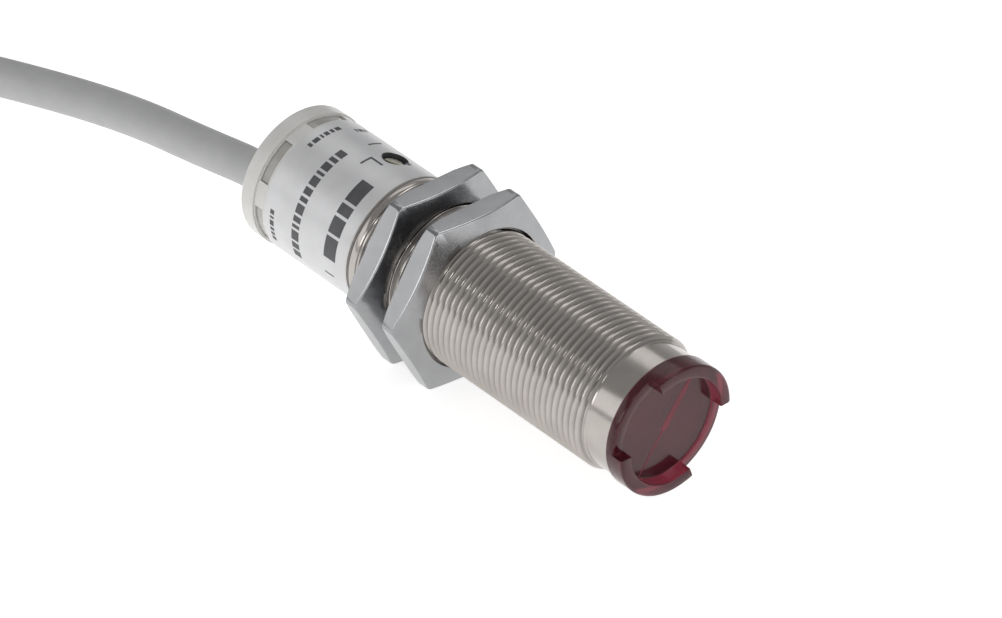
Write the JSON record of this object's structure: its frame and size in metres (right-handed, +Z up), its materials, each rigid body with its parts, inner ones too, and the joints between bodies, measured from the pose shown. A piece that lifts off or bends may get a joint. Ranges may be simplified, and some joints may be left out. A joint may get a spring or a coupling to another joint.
{
  "type": "photoelectric sensor",
  "caption": "Threaded round photoelectric sensor with a ruby lens cap, hexagon mounting nuts, a recessed sensitivity adjuster and a tied-up cable.",
  "frame": {"origin": "on the resting surface, under the middle of the sensor's length and under the barrel's axis", "axes": "+X along the barrel's axis towards the lens, +Z up through the nuts' upper flats, +Y to the left seen from behind the sensor"},
  "size_m": [0.2531, 0.0473, 0.0232],
  "materials": {
    "nickel": "bright nickel plating on brass, fine turned thread",
    "nut_zinc": "zinc-plated steel, smooth bright faces",
    "ruby": "dark ruby transparent plastic",
    "seal": "black rubber",
    "optic_black": "black moulded plastic",
    "clear_lens": "clear moulded lens",
    "led_clear": "clear resin",
    "board": "green circuit board",
    "chip": "black moulded package",
    "can": "bare aluminium can",
    "ceramic_chip": "fired ceramic chips",
    "indicator": "tinted resin lamps",
    "trimmer_blue": "blue moulded body",
    "screw": "slotted metal screw in a dark recess",
    "cap_plastic": "smoky translucent plastic",
    "label": null,
    "guide_clear": "clear moulded light guide",
    "cable_grey": "mid-grey matt PVC jacket",
    "clamp_metal": "rolled steel ring",
    "core_brown": "brown core insulation",
    "core_blue": "blue core insulation",
    "core_black": "black core insulation",
    "tinned_copper": "tinned copper strands",
    "tie": "black nylon tie"
  },
  "bodies": {
    "sensor": {"barrel": "nickel", "front_lens": "ruby", "lens_seal": "seal", "optic_holder": "optic_black", "emitter_lens": "clear_lens", "receiver_lens": "clear_lens", "emitter_led": "led_clear", "receiver_photodiode": "led_clear", "optic_board": "board", "main_board": "board", "control_chip": "chip", "output_transistor": "chip", "filter_capacitor": "can", "chip_resistors": "ceramic_chip", "chip_capacitors": "ceramic_chip", "indicator_leds": "indicator", "trimmer_body": "trimmer_blue", "adjuster_seal": "seal", "rear_cap": "cap_plastic", "cap_seal": "seal", "rating_label": "label", "light_guide": "guide_clear", "cable_grommet": "seal", "cable_clamp": "clamp_metal", "cable_inner_end": "cable_grey", "core_brown": "core_brown", "core_blue": "core_blue", "core_black": "core_black", "cable": "cable_grey", "cable_hank": "cable_grey", "cable_tail": "cable_grey", "hank_ties": "tie", "lead_brown": "core_brown", "lead_blue": "core_blue", "lead_black": "core_black", "lead_tips": "tinned_copper"},
    "front_nut": {"front_nut": "nut_zinc"},
    "rear_nut": {"rear_nut": "nut_zinc"},
    "sensitivity_screw": {"sensitivity_screw": "screw"}
  },
  "joints": [
    {"name": "front_nut_turn", "type": "hinge", "parent": "sensor", "child": "front_nut", "pos_m": [-0.0019, 0, 0.0115], "axis": [1, 0, 0], "continuous": true},
    {"name": "rear_nut_turn", "type": "hinge", "parent": "sensor", "child": "rear_nut", "pos_m": [-0.0085, 0, 0.0115], "axis": [1, 0, 0], "continuous": true},
    {"name": "sensitivity_turn", "type": "hinge", "parent": "sensor", "child": "sensitivity_screw", "pos_m": [-0.0195, 0, 0.0115], "axis": [0, 0.3156, 0.9489], "range_deg": [-135, 135]}
  ]
}
